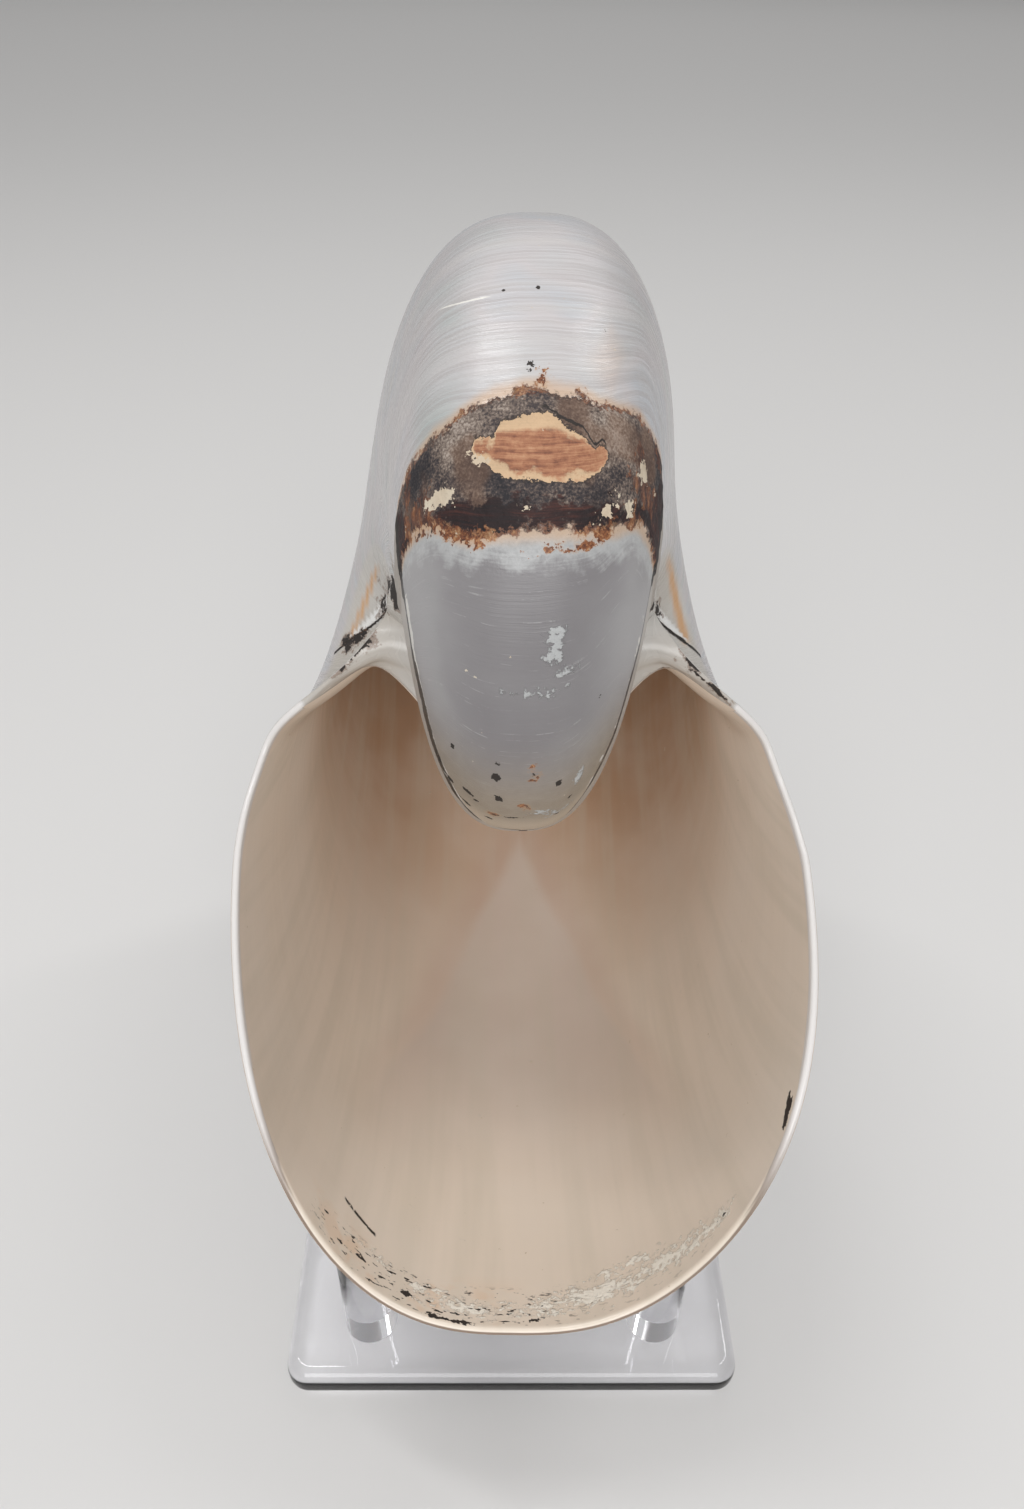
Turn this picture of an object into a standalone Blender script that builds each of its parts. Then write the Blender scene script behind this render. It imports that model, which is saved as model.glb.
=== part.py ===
"""Chambered nautilus shell with a polished pearly surface, standing on a clear acrylic peg stand.

The shell is one logarithmic spiral, three times wider after each turn. Its section is made of two
superellipse-like quarters: from the venter (the outer keel line) to the shoulder, where the whorl is
widest, and from the shoulder to the coil axis, where a callus fills the umbilicus. The body chamber is
the open hollow behind the aperture. The earlier whorl runs into it as the rounded tongue.
Units are metres, +Z is up, +Y points away from the viewer, and the origin is the centre of the
stand's underside. The aperture opens towards -Y.
"""
import math

import bmesh
import bpy
import numpy as np
from mathutils import Vector
from mathutils.bvhtree import BVHTree

# Spiral and section of the shell
LIP_RADIUS = 0.1077
TURN_RATIO = 3.06
HALF_WIDTH = 0.399
SHOULDER = 0.36
VENTER_WIDTH_POWER = 0.777
VENTER_HEIGHT_POWER = 1.063
CALLUS_HALF = 0.0211
CALLUS_SPREAD = 0.41
LIP_ANGLE = math.radians(225)
AXIS_CENTRE = (-0.0004, 0.0199, 0.1121)
SKEW = 0.033
SKEW_BLEND = 0.050

# Aperture margin, as degrees round the spiral: the sinus at the venter, the lobe on each flank,
# the notch above it and the callus that winds forwards round the umbilicus
RIM_SINUS = -0.9
RIM_LOBE = (-6.5, 0.72, 0.24)
RIM_NOTCH = (11.0, 1.41, 0.14)
RIM_CALLUS = (-60.0, 1.78, 0.08)
RIM_UNEVEN = (-3.2, 0.76, 0.24)

# Body chamber
CHAMBER_ARC = math.radians(135)
WALL_AT_RIM = 0.0011
WALL_DEEP = 0.0018
WALL_GROWTH = math.radians(25)
HORN_AT_WALL = 1.6
HORN_AT_TONGUE = 0.84
HORN_REACH_WALL = 0.65
HORN_REACH_TONGUE = 0.65
HORN_LIFT = 0.70
SADDLE_FADE = 4
SEPTUM_DEPTH = 0.35
SEPTUM_FADE = 5

# Mesh steps
TURN_STEPS = 46
CHAMBER_STEPS = 18
FLANK_STEPS = 12
CALLUS_STEPS = 9
HORN_STEPS = 5
TANGENT_STEP = 1e-4
MERGE_DISTANCE = 1e-6
SHARP_EDGE = math.radians(50)

# Stand
PLATE_WIDTH = 0.0762
PLATE_DEPTH = 0.1016
PLATE_THICKNESS = 0.0060
PLATE_CORNER = 0.0040
PLATE_EDGE = 0.0025
PEG_RADIUS = 0.0045
PEG_HALF_SPACING = 0.0243
PEG_INSET = 0.0103
PEG_DOME = 0.0030
CONTACT_GAP = 0.0003
CORNER_STEPS = 5
EDGE_STEPS = 4
PEG_SIDES = 24
DOME_STEPS = 4

# Looks
NACRE_COLOUR = (0.80, 0.76, 0.72)
NACRE_ROUGHNESS = 0.30
ACRYLIC_COLOUR = (0.92, 0.93, 0.95)
ACRYLIC_ROUGHNESS = 0.05
ACRYLIC_ALPHA = 0.35

FULL_TURN = 2 * math.pi
SPIRAL_RATE = math.log(TURN_RATIO) / FULL_TURN


def make_material(name, colour, roughness, alpha=1.0):
    material = bpy.data.materials.new(name)
    material.use_nodes = True
    shader = material.node_tree.nodes["Principled BSDF"]
    shader.inputs["Base Color"].default_value = (*colour, 1.0)
    shader.inputs["Roughness"].default_value = roughness
    shader.inputs["Metallic"].default_value = 0.0
    shader.inputs["Alpha"].default_value = alpha
    material.diffuse_color = (*colour, alpha)
    return material


def make_object(name, mesh_data, material):
    """Link a new object for a bmesh, round pieces smooth, with its own material."""
    bmesh.ops.recalc_face_normals(mesh_data, faces=mesh_data.faces)
    mesh = bpy.data.meshes.new(name)
    mesh_data.to_mesh(mesh)
    mesh_data.free()
    mesh.shade_smooth()
    mesh.set_sharp_from_angle(angle=SHARP_EDGE)
    mesh.materials.append(material)
    thing = bpy.data.objects.new(name, mesh)
    bpy.context.scene.collection.objects.link(thing)
    return thing


def bell(across, shape):
    """A bell curve: height, the place across the whorl where it peaks, and its width."""
    height, centre, width = shape
    return height * np.exp(-0.5 * ((across - centre) / width) ** 2)


def rim_angle(across):
    """How far round the spiral the aperture margin lies, for each place across the whorl.

    across runs from -2 at the left end of the axis, over -1 at the left shoulder and 0 at the
    venter, to 2 at the right end of the axis.
    """
    place = np.abs(across)
    drop, centre, width = RIM_CALLUS
    callus = drop / (1 + np.exp(-(place - centre) / width))
    uneven = np.sign(across) * bell(place, RIM_UNEVEN)
    return np.radians(RIM_SINUS + bell(place, RIM_LOBE) + bell(place, RIM_NOTCH) + callus + uneven)


def whorl(angle, across):
    """Points of the outer surface, about the coil axis.

    The radius to the venter falls by the same share for each degree round the spiral. Between the
    venter and the shoulder the section is a superellipse quarter. From the shoulder to the axis the
    distance from the axis falls evenly, and the width settles on the callus as a bell curve.
    The coil is a little skewed: above the axis it shifts to the right with the height.
    """
    angle, across = np.broadcast_arrays(angle, across)
    place = np.abs(across)
    radius = LIP_RADIUS * np.exp(-SPIRAL_RATE * angle)
    turn = np.clip(place, 0, 1) * math.pi / 2
    venter_width = HALF_WIDTH * radius * np.sin(turn) ** VENTER_WIDTH_POWER
    venter_reach = radius * (SHOULDER + (1 - SHOULDER) * np.abs(np.cos(turn)) ** VENTER_HEIGHT_POWER)
    inner = np.clip(2 - place, 0, 1)
    fullness = 1 - np.exp(-(inner / CALLUS_SPREAD) ** 3)
    callus_width = CALLUS_HALF + (HALF_WIDTH * radius - CALLUS_HALF) * fullness
    callus_reach = radius * SHOULDER * inner
    width = np.where(place <= 1, venter_width, callus_width) * np.sign(across)
    reach = np.where(place <= 1, venter_reach, callus_reach)
    heading = LIP_ANGLE + angle
    height = reach * np.sin(heading)
    lifted = (height + np.hypot(height, SKEW_BLEND)) / 2
    return np.stack([width + SKEW * lifted, reach * np.cos(heading), height], -1)


def chamber_wall(angle, across, depth):
    """The body chamber's side of the wall: the outer surface moved inwards by its thickness."""
    along = whorl(angle + TANGENT_STEP, across) - whorl(angle - TANGENT_STEP, across)
    sideways = whorl(angle, across + TANGENT_STEP) - whorl(angle, across - TANGENT_STEP)
    normal = np.cross(along, sideways)
    normal /= np.linalg.norm(normal, axis=-1, keepdims=True)
    thickness = WALL_AT_RIM + (WALL_DEEP - WALL_AT_RIM) * (1 - np.exp(-depth / WALL_GROWTH))
    inwards = np.sign(np.sum(normal * whorl(angle, across), -1, keepdims=True))
    return whorl(angle, across) - normal * inwards * thickness[..., None]


def columns(horn_place):
    """Places across the whorl, from -2 to 2, with one column on each horn's end."""
    flank = np.linspace(0, horn_place, FLANK_STEPS + 1)
    callus = np.linspace(horn_place, 2, CALLUS_STEPS + 1)[1:]
    half = np.concatenate([flank, callus])
    return np.concatenate([-half[:0:-1], half])


def horn(wall_end, wall_heading, tongue_end, tongue_heading):
    """A curve from the wall to the tongue that bows towards the axis: a cubic Bezier arc."""
    span = np.linalg.norm(tongue_end - wall_end, axis=-1, keepdims=True)
    wall_handle = wall_end + wall_heading * span * HORN_REACH_WALL
    tongue_handle = tongue_end + tongue_heading * span * HORN_REACH_TONGUE
    share = np.linspace(0, 1, HORN_STEPS + 1)[:, None, None]
    return ((1 - share) ** 3 * wall_end + 3 * (1 - share) ** 2 * share * wall_handle
            + 3 * (1 - share) * share ** 2 * tongue_handle + share ** 3 * tongue_end)


def unit(vector):
    return vector / np.linalg.norm(vector, axis=-1, keepdims=True)


def shell_grids():
    """The grids of points that close the shell: outside, chamber wall, horns, septum and saddles."""
    outer_columns = columns(HORN_AT_WALL)
    tongue_columns = columns(HORN_AT_TONGUE)
    middle = len(outer_columns) // 2
    inside = slice(middle - FLANK_STEPS, middle + FLANK_STEPS + 1)

    turn = np.linspace(0, FULL_TURN, TURN_STEPS + 1)[:, None]
    share = turn / FULL_TURN
    margin = rim_angle(outer_columns)
    outside = whorl(turn + margin, (1 - share) * outer_columns + share * tongue_columns)

    depth = np.linspace(0, CHAMBER_ARC, CHAMBER_STEPS + 1)
    angle = depth[:, None] + margin[inside]
    wall = chamber_wall(angle, outer_columns[inside], depth[:, None] + 0 * angle)
    tongue = whorl(FULL_TURN + angle, tongue_columns[inside])
    grids = [outside, wall, tongue, np.stack([outside[0, inside], wall[0]])]

    horns = []
    for side, edge in ((-1, 0), (1, -1)):
        along = angle[:, edge]
        nudge = side * TANGENT_STEP
        wall_next = chamber_wall(along, outer_columns[inside][edge] + nudge + 0 * depth, depth)
        tongue_next = whorl(FULL_TURN + along, tongue_columns[inside][edge] + nudge)
        lift = np.array([side * HORN_LIFT, 0.0, 0.0])
        arcs = horn(wall[:, edge], unit(wall_next - wall[:, edge]),
                    tongue[:, edge], unit(tongue_next - tongue[:, edge]) + lift)
        callus = slice(middle + side * FLANK_STEPS, None, side)
        grids.append(arcs)
        grids.append(saddle(outside[0, callus], outside[-1, callus], arcs[:, 0]))
        horns.append(arcs[:, -1])
    grids.append(septum(wall[-1], tongue[-1], *horns))
    return grids


def saddle(margin, flank, first_horn):
    """The callus face between the margin, the earlier whorl's flank and the first horn.

    A Coons patch: straight lines from margin to flank, plus the horn's bow, which fades towards
    the end of the axis.
    """
    share = np.linspace(0, 1, HORN_STEPS + 2)[:, None, None]
    bow = np.concatenate([margin[:1], first_horn])[:, None, :]
    straight = (1 - share) * margin[None] + share * flank[None]
    bend = bow - straight[:, :1]
    fade = (1 - np.linspace(0, 1, len(margin)))[None, :, None] ** SADDLE_FADE
    return straight + bend * fade


def septum(wall_end, tongue_end, left_horn, right_horn):
    """The last wall between chambers: a bowl that sinks away from the aperture."""
    share = np.linspace(0, 1, HORN_STEPS + 1)[:, None, None]
    straight = (1 - share) * wall_end[None] + share * tongue_end[None]
    place = np.linspace(-1, 1, len(wall_end))
    left = np.clip(-place, 0, 1)[None, :, None] ** SEPTUM_FADE
    right = np.clip(place, 0, 1)[None, :, None] ** SEPTUM_FADE
    bend = (left * (left_horn[:, None] - straight[:, :1])
            + right * (right_horn[:, None] - straight[:, -1:]))
    heading = LIP_ANGLE + CHAMBER_ARC
    deeper = np.array([0.0, -math.sin(heading), math.cos(heading)])
    size = np.linalg.norm(wall_end[len(wall_end) // 2] - tongue_end[len(tongue_end) // 2])
    bowl = (1 - (2 * share - 1) ** 2) * (1 - place[None, :, None] ** 2)
    return straight + bend + bowl * size * SEPTUM_DEPTH * deeper


def add_grid(mesh_data, points):
    """Add a grid of points to a bmesh as quads."""
    rows, across = points.shape[:2]
    corners = [[mesh_data.verts.new(point) for point in row] for row in points.tolist()]
    for i in range(rows - 1):
        for j in range(across - 1):
            mesh_data.faces.new((corners[i][j], corners[i][j + 1],
                                 corners[i + 1][j + 1], corners[i + 1][j]))


def make_shell(material):
    mesh_data = bmesh.new()
    for points in shell_grids():
        add_grid(mesh_data, points)
    bmesh.ops.remove_doubles(mesh_data, verts=mesh_data.verts, dist=MERGE_DISTANCE)
    shell = make_object("shell", mesh_data, material)
    shell.location = AXIS_CENTRE
    return shell


def rounded_ring(inset, height):
    """One level of the plate: a rectangle with round corners, drawn in by the inset."""
    ring = []
    radius = PLATE_CORNER - inset
    for quarter in range(4):
        sign_x = (1, -1, -1, 1)[quarter]
        sign_y = (1, 1, -1, -1)[quarter]
        centre_x = sign_x * (PLATE_WIDTH / 2 - PLATE_CORNER)
        centre_y = sign_y * (PLATE_DEPTH / 2 - PLATE_CORNER)
        for step in range(CORNER_STEPS + 1):
            turn = math.pi / 2 * (quarter + step / CORNER_STEPS)
            ring.append((centre_x + radius * math.cos(turn), centre_y + radius * math.sin(turn), height))
    return ring


def make_plate(material):
    """A flat plate whose edges are rounded over, above and below."""
    levels = []
    for step in range(EDGE_STEPS + 1):
        turn = math.pi / 2 * step / EDGE_STEPS
        levels.append((PLATE_EDGE * (1 - math.sin(turn)), PLATE_EDGE * (1 - math.cos(turn))))
    upper = [(inset, PLATE_THICKNESS - height) for inset, height in reversed(levels)]
    mesh_data = bmesh.new()
    rings = [[mesh_data.verts.new(point) for point in rounded_ring(inset, height)]
             for inset, height in levels + upper]
    sides = len(rings[0])
    for low, high in zip(rings, rings[1:]):
        for i in range(sides):
            j = (i + 1) % sides
            mesh_data.faces.new((low[i], low[j], high[j], high[i]))
    mesh_data.faces.new(rings[0])
    mesh_data.faces.new(rings[-1])
    return make_object("stand_plate", mesh_data, material)


def peg_profile(height):
    """Radius and height pairs from the peg's foot to the top of its dome."""
    profile = [(PEG_RADIUS, 0.0)]
    for step in range(DOME_STEPS):
        turn = math.pi / 2 * step / DOME_STEPS
        profile.append((PEG_RADIUS * math.cos(turn), height - PEG_DOME + PEG_DOME * math.sin(turn)))
    return profile


def peg_height(shell_tree, x, y, foot):
    """The height at which the peg's dome all but touches the shell above it."""
    heights = []
    for radius, below in peg_profile(0.0)[1:] + [(0.0, 0.0)]:
        for side in range(PEG_SIDES):
            turn = FULL_TURN * side / PEG_SIDES
            start = Vector((x + radius * math.cos(turn), y + radius * math.sin(turn), foot))
            hit = shell_tree.ray_cast(start, Vector((0, 0, 1)))
            if hit[0] is not None:
                heights.append(hit[0].z - below - foot)
    return min(heights) - CONTACT_GAP


def make_peg(name, x, y, shell_tree, material):
    foot = PLATE_THICKNESS + CONTACT_GAP
    height = peg_height(shell_tree, x, y, foot)
    mesh_data = bmesh.new()
    rings = []
    for radius, level in peg_profile(height):
        ring = []
        for side in range(PEG_SIDES):
            turn = FULL_TURN * side / PEG_SIDES
            ring.append(mesh_data.verts.new((radius * math.cos(turn), radius * math.sin(turn), level)))
        rings.append(ring)
    top = mesh_data.verts.new((0, 0, height))
    for low, high in zip(rings, rings[1:]):
        for i in range(PEG_SIDES):
            j = (i + 1) % PEG_SIDES
            mesh_data.faces.new((low[i], low[j], high[j], high[i]))
    for i in range(PEG_SIDES):
        mesh_data.faces.new((rings[-1][i], rings[-1][(i + 1) % PEG_SIDES], top))
    mesh_data.faces.new(rings[0])
    peg = make_object(name, mesh_data, material)
    peg.location = (x, y, foot)
    return peg


def main():
    for thing in list(bpy.data.objects):
        bpy.data.objects.remove(thing)
    nacre = make_material("nacre", NACRE_COLOUR, NACRE_ROUGHNESS)
    shell = make_shell(nacre)
    placed = [vertex.co + shell.location for vertex in shell.data.vertices]
    tree = BVHTree.FromPolygons(placed, [tuple(face.vertices) for face in shell.data.polygons])
    make_plate(make_material("acrylic_plate", ACRYLIC_COLOUR, ACRYLIC_ROUGHNESS, ACRYLIC_ALPHA))
    peg_y = PLATE_DEPTH / 2 - PEG_INSET
    for end, y in (("front", -peg_y), ("back", peg_y)):
        for side, x in (("left", -PEG_HALF_SPACING), ("right", PEG_HALF_SPACING)):
            name = f"peg_{end}_{side}"
            acrylic = make_material(f"acrylic_{name}", ACRYLIC_COLOUR, ACRYLIC_ROUGHNESS, ACRYLIC_ALPHA)
            make_peg(name, x, y, tree, acrylic)


main()
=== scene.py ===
"""Dresses a nautilus shell and its clear acrylic peg stand, as a Blender add-on that is run as a script.

The shell is one closed surface: a logarithmic spiral outside, a thin wall round the body chamber, the
inner coil that shows in it as a tongue, the callus beside that, and the last septum. Its stains and
worn places, and the shade and sheen painted on its chamber, groove and crevices, are numbers on its
points, which the material turns into crisp edges with fine noise.
Lengths are metres, +Z is up, and the aperture opens towards -Y.
"""
import math

import bmesh
import bpy
import numpy as np
from bpy.props import FloatProperty, FloatVectorProperty, PointerProperty
from mathutils import Matrix, Vector


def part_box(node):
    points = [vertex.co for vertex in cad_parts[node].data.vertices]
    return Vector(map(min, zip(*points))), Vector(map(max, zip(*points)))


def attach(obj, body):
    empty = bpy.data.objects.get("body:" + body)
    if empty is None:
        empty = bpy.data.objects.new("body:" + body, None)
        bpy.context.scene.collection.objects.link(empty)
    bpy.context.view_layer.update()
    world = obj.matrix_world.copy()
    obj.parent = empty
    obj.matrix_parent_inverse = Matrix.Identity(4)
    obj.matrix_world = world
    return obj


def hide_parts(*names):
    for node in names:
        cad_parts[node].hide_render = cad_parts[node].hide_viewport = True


bl_info = {
    "name": "Nautilus shell on a clear stand",
    "version": (1, 0, 0),
    "blender": (4, 5, 0),
    "location": "3D View > Sidebar > Nautilus",
    "description": "Builds a pearly nautilus shell, its acrylic stand and a studio round them",
    "category": "Add Mesh",
}

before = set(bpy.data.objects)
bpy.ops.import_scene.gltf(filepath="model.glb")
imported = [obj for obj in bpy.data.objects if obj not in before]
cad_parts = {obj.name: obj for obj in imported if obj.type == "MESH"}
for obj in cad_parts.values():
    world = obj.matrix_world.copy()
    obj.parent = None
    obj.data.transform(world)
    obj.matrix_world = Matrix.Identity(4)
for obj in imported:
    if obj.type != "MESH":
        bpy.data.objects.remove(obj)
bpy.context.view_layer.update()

# Mesh steps
COIL_STEPS = 76
STAIN_STEPS = 190
LAST_STEPS = 8
CHAMBER_STEPS = 66
FLANK_STEPS = 84
CALLUS_STEPS = 26
HORN_STEPS = 24
RIM_STEPS = 6
PLATE_CORNER_STEPS = 16
PLATE_EDGE_STEPS = 12
PEG_SIDES = 72
DOME_STEPS = 14
FLOOR_SIDES = 96

# Spacing: powers that crowd columns at the keel and rows at the lip, and how much arcs crowd at both ends
FLANK_POWER = 1.2
CHAMBER_POWER = 1.4
ARC_CROWDING = 0.85
# The power of the half sine that the lip's edge bulges by
BOW_POWER = 0.7
# The stained front of the coil: its dense rows and where it starts, in degrees, and its place across
DENSE_ROWS = (234, 346)
FRONT_TURN = 230
FRONT_SIDE = 1.3
# A short way along the surface, for its tangents, in radians and in places across
NUDGE = 1e-4

# Relief in metres: the crust with its lumps' height and sizes, chips, flakes and the callus's ridge
CRUST_HEIGHT = 0.00022
LUMP_HEIGHT = 0.00010
LUMP_SIZES = (0.0013, 0.0006)
CHIP_DEPTH = 0.00012
FLAKE_HEIGHT = 0.00005
RIDGE_HEIGHT = 0.00035

# Edges that meet at a wider angle than this, in degrees, are drawn sharp
SHARP_ANGLE = 40
# The small flat in the middle of a turned top, as a share of its radius
PEG_FLAT = 0.02
FLOOR_FLAT = 1 / 6000

# Lights: place, target, size and power in watts
LIGHTS = {
    "left strip": ((-0.36, 0.18, 1.06), (-0.003, 0.0, 0.16), (0.08, 0.6), 2.2),
    "right strip": ((0.65, 0.36, 1.06), (0.008, 0.0, 0.16), (0.08, 0.7), 1.9),
    "ceiling": ((0.0, 1.6, 2.8), (0.0, 1.6, 0.0), (6.0, 9.0), 69.0),
    "front": ((-0.05, -0.9, 0.62), (0.0, 0.0, 0.06), (0.8, 0.5), 5.6),
}
SENSOR_MM = 36
NEAREST_VIEW = 0.005
FLOOR_TOP = -0.0005
FLOOR_BOTTOM = -0.0015

FULL_TURN = 2 * math.pi
OUTSIDE, RIM, WALL, TONGUE, HORN, SADDLE, SEPTUM = range(7)


# Settings that a user would change


def setting(name, description, default, **kind):
    """A property: one number, or several where the default is a tuple."""
    make = FloatVectorProperty if isinstance(default, tuple) else FloatProperty
    return make(name=name, description=description, default=default, **kind)


def metres(name, description, default):
    """A length in metres."""
    return setting(name, description, default, unit="LENGTH")


def degrees(name, description, default):
    """An angle, given in degrees."""
    return setting(name, description, math.radians(default), subtype="ANGLE")


def tone(name, description, default):
    """A colour."""
    return setting(name, description, default, subtype="COLOR")


class ShellShape(bpy.types.PropertyGroup):
    """The spiral, its section and the body chamber."""

    lip_radius: metres("Lip radius", "From the coil axis to the keel at the lip", 0.1077)
    turn_ratio: setting("Turn ratio", "How many times wider the coil gets in one turn", 3.06)
    half_width: setting("Half width", "Half the whorl's width, as a share of its radius", 0.399)
    shoulder: setting("Shoulder", "Where the whorl is widest, as a share of its radius", 0.36)
    venter_width_power: setting(
        "Keel fullness", "Power of the section's width from keel to shoulder", 0.777)
    venter_height_power: setting(
        "Keel roundness", "Power of the section's height from keel to shoulder", 1.063)
    callus_half: metres(
        "Callus", "Half the width at the coil axis, where the callus fills the umbilicus", 0.0211)
    callus_spread: setting("Callus spread", "How far the callus reaches towards the shoulder", 0.41)
    lip_heading: degrees("Lip heading", "Direction of the lip from the coil axis", 225)
    axis_centre: setting(
        "Coil centre", "Middle of the coil axis", (-0.0004, 0.0199, 0.1121), subtype="TRANSLATION")
    skew: setting("Skew", "Sideways shift for each unit of height above the axis", 0.033)
    skew_blend: metres("Skew blend", "Height over which the skew sets in", 0.050)
    wall_at_rim: metres("Lip thickness", "Wall thickness at the lip", 0.0011)
    wall_deep: metres("Wall thickness", "Wall thickness deep in the chamber", 0.0018)
    wall_growth: degrees("Wall growth", "Turn over which the wall thickens", 25)
    chamber_arc: degrees("Chamber", "How far round the spiral the body chamber reaches", 135)


class LipShape(bpy.types.PropertyGroup):
    """The aperture's margin, in degrees round the spiral, and the callus beside the inner coil."""

    sinus: setting("Sinus", "Margin at the keel, in degrees", -0.9)
    lobe: setting(
        "Lobe", "Height in degrees, place and width of the lobe on each flank", (-6.5, 0.72, 0.24))
    notch: setting(
        "Notch", "Height in degrees, place and width of the notch above it", (11.0, 1.41, 0.14))
    callus: setting(
        "Callus edge", "Drop in degrees, place and width of the edge round the umbilicus",
        (-60.0, 1.78, 0.08))
    uneven: setting(
        "Unevenness", "Height in degrees, place and width of the difference in the flanks",
        (-3.2, 0.76, 0.24))
    lip_round: metres("Lip rounding", "How far the lip's edge bulges forwards", 0.00035)
    horn_at_wall: setting(
        "Horn at wall", "Place across the whorl where the chamber's wall bends in", 1.6)
    horn_at_tongue: setting(
        "Horn at tongue", "Place across the inner coil where that bend meets it", 0.84)
    horn_reach: setting("Horn reach", "Handle length of the bend, as a share of its span", 0.65)
    horn_lift: setting("Horn lift", "How much the bend leaves the inner coil sideways", 0.70)
    saddle_fade: setting(
        "Saddle fade", "Power with which the bend dies away towards the axis", 4.0)
    septum_depth: setting(
        "Septum depth", "Depth of the septum's bowl, as a share of its height", 0.35)
    septum_fade: setting(
        "Septum fade", "Power with which the septum takes up the bend's arc", 5.0)


class StandShape(bpy.types.PropertyGroup):
    """The clear plate and its pegs."""

    width: metres("Width", "Plate width", 0.0762)
    depth: metres("Depth", "Plate depth", 0.1016)
    thickness: metres("Thickness", "Plate thickness", 0.006)
    corner: metres("Corner", "Corner radius", 0.004)
    edge: metres("Edge", "Radius of the rounded edge", 0.0025)
    peg_dome: metres("Peg dome", "Height of each peg's domed end", 0.003)


class PearlColours(bpy.types.PropertyGroup):
    """Colours of the shell."""

    silver: tone("Silver", "Polished outside", (0.62, 0.60, 0.60))
    cream: tone("Cream", "Callus and the coil's flanks", (0.52, 0.48, 0.43))
    sand: tone("Sand", "Inside of the body chamber", (0.84, 0.73, 0.615))
    lip: tone("Lip", "The lip beside the chamber", (0.80, 0.77, 0.75))
    lip_edge: tone("Lip's edge", "The lip's outer edge at the keel", (0.27, 0.195, 0.145))
    rust: tone("Rust", "Streaks beside the callus", (0.62, 0.34, 0.15))
    # Black is also painted shade, in the crevices beside the callus and in the callus's groove
    black: tone("Black", "Cracks, specks and crevices", (0.022, 0.015, 0.012))


class StudioLook(bpy.types.PropertyGroup):
    """Floor, lights and camera."""

    floor: tone("Floor", "Floor colour", (0.72, 0.71, 0.70))
    floor_radius: metres("Floor radius", "Radius of the round floor", 6.0)
    surroundings: tone(
        "Surroundings", "Colour of the even light from all sides", (0.28, 0.28, 0.28))
    camera: setting(
        "Camera", "The camera's place", (-0.00304, -0.13115, 0.19789), subtype="TRANSLATION")
    pitch: degrees("Pitch", "The camera's angle downwards", 37.2965)
    yaw: degrees("Yaw", "The camera's angle to the right", 0.9263)
    roll: degrees("Roll", "The camera's angle clockwise", 0.9293)
    focal_length: setting("Focal length", "In heights of the picture", 0.71841)


# Shader maths


def operation(name, swapped=False):
    """A method that makes a Math node of this operation, with its two inputs swapped or not."""
    def method(self, other=0.0):
        first, second = (other, self) if swapped else (self, other)
        return self.nodes.make("ShaderNodeMath", {"operation": name}, {0: first, 1: second})
    return method


class Value:
    """A shader socket that adds, multiplies and compares like a number."""

    def __init__(self, nodes, socket):
        self.nodes = nodes
        self.socket = socket

    __add__ = __radd__ = operation("ADD")
    __sub__ = operation("SUBTRACT")
    __rsub__ = operation("SUBTRACT", swapped=True)
    __mul__ = __rmul__ = operation("MULTIPLY")
    __truediv__ = operation("DIVIDE")
    __abs__ = operation("ABSOLUTE")
    most = operation("MAXIMUM")


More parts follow.
